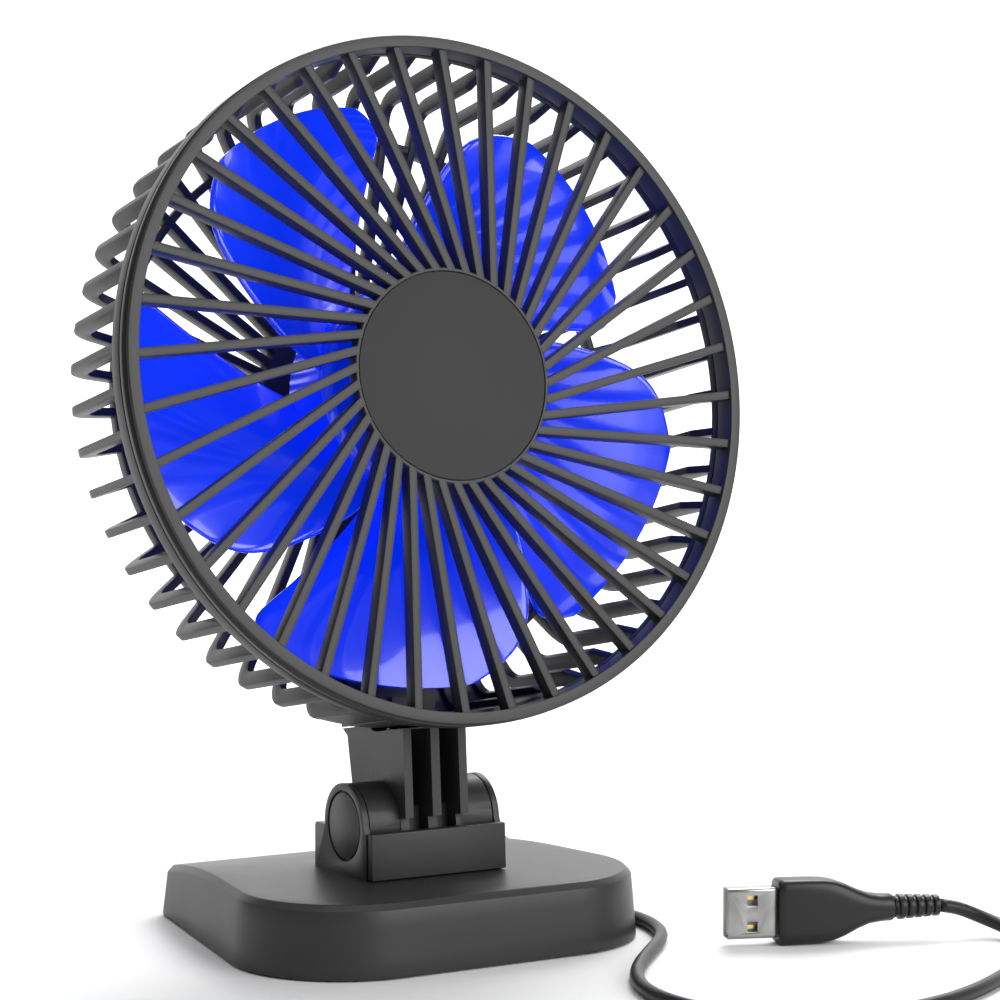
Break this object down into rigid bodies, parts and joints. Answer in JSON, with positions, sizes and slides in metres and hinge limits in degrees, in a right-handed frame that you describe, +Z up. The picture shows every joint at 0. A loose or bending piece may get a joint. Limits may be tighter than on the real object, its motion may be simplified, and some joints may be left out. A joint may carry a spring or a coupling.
{
  "type": "usb desk fan",
  "caption": "Small tilting USB desk fan: round guarded head with a blue swept-blade impeller on a base with a hinge bracket, rear button and cord.",
  "frame": {"origin": "middle of the base's underside, on the surface it stands on", "axes": "+Z up; the fan blows towards -Y; +X is to the viewer's right when the fan is seen from the front; the hinge axis is along X"},
  "size_m": [0.2033, 0.2354, 0.2146],
  "materials": {
    "guard_plastic": "satin dark grey moulded plastic",
    "base_plastic": "satin dark grey moulded plastic",
    "centre_cap": "flat mid grey",
    "blue_plastic": "glossy translucent blue",
    "black_plastic": "satin black",
    "plug_plastic": "satin black moulded plug",
    "white_plastic": "white moulded insert",
    "steel": "bright nickel plate",
    "copper": "enamelled copper winding",
    "bronze": "sintered bronze",
    "board": "green circuit board",
    "rubber": "matte black feet",
    "lead": "black insulated lead",
    "cord_rubber": "soft black cord jacket"
  },
  "bodies": {
    "base": {"base_shell": "base_plastic", "base_plate": "base_plastic", "base_screw_1": "steel", "base_screw_2": "steel", "base_screw_3": "steel", "base_screw_4": "steel", "foot_1": "rubber", "foot_2": "rubber", "foot_3": "rubber", "foot_4": "rubber", "front_panel": "base_plastic", "hinge_bolt": "steel", "hinge_nut": "steel", "hinge_washer_left": "steel", "hinge_washer_right": "steel", "hinge_cap_left": "base_plastic", "hinge_cap_right": "base_plastic", "circuit_board": "board", "switch_body": "black_plastic", "base_lead": "lead", "strain_relief": "cord_rubber", "usb_cord": "cord_rubber", "usb_cord_end": "cord_rubber", "cord_coil": "cord_rubber", "cord_tie": "black_plastic", "usb_plug_body": "plug_plastic", "plug_relief": "plug_plastic", "usb_shell": "steel", "usb_tongue": "white_plastic"},
    "head": {"front_grille": "guard_plastic", "centre_cap": "centre_cap", "rear_grille": "guard_plastic", "rear_cover": "guard_plastic", "cover_screw_1": "steel", "cover_screw_2": "steel", "cover_screw_3": "steel", "motor_can": "steel", "motor_end_bell": "black_plastic", "motor_windings": "copper", "front_bush": "bronze", "rear_bush": "bronze", "motor_screw_1": "steel", "motor_screw_2": "steel", "neck": "base_plastic", "neck_screw_1": "steel", "neck_screw_2": "steel", "motor_lead": "lead"},
    "impeller": {"impeller": "blue_plastic", "motor_shaft": "steel", "shaft_collar": "steel"},
    "button": {"power_button": "black_plastic"}
  },
  "joints": [
    {"name": "head_tilt", "type": "hinge", "parent": "base", "child": "head", "pos_m": [0, -0.009, 0.0282], "axis": [-1, 0, 0], "range_deg": [-10, 25]},
    {"name": "blade_spin", "type": "hinge", "parent": "head", "child": "impeller", "pos_m": [0, -0.02785, 0.13434], "axis": [0, 0.9869, -0.1616], "continuous": true},
    {"name": "button_press", "type": "slide", "parent": "base", "child": "button", "axis": [0, -1, 0], "range_m": [0, 0.001], "stiffness_N_per_m": 800, "springref_m": -0.0005}
  ]
}
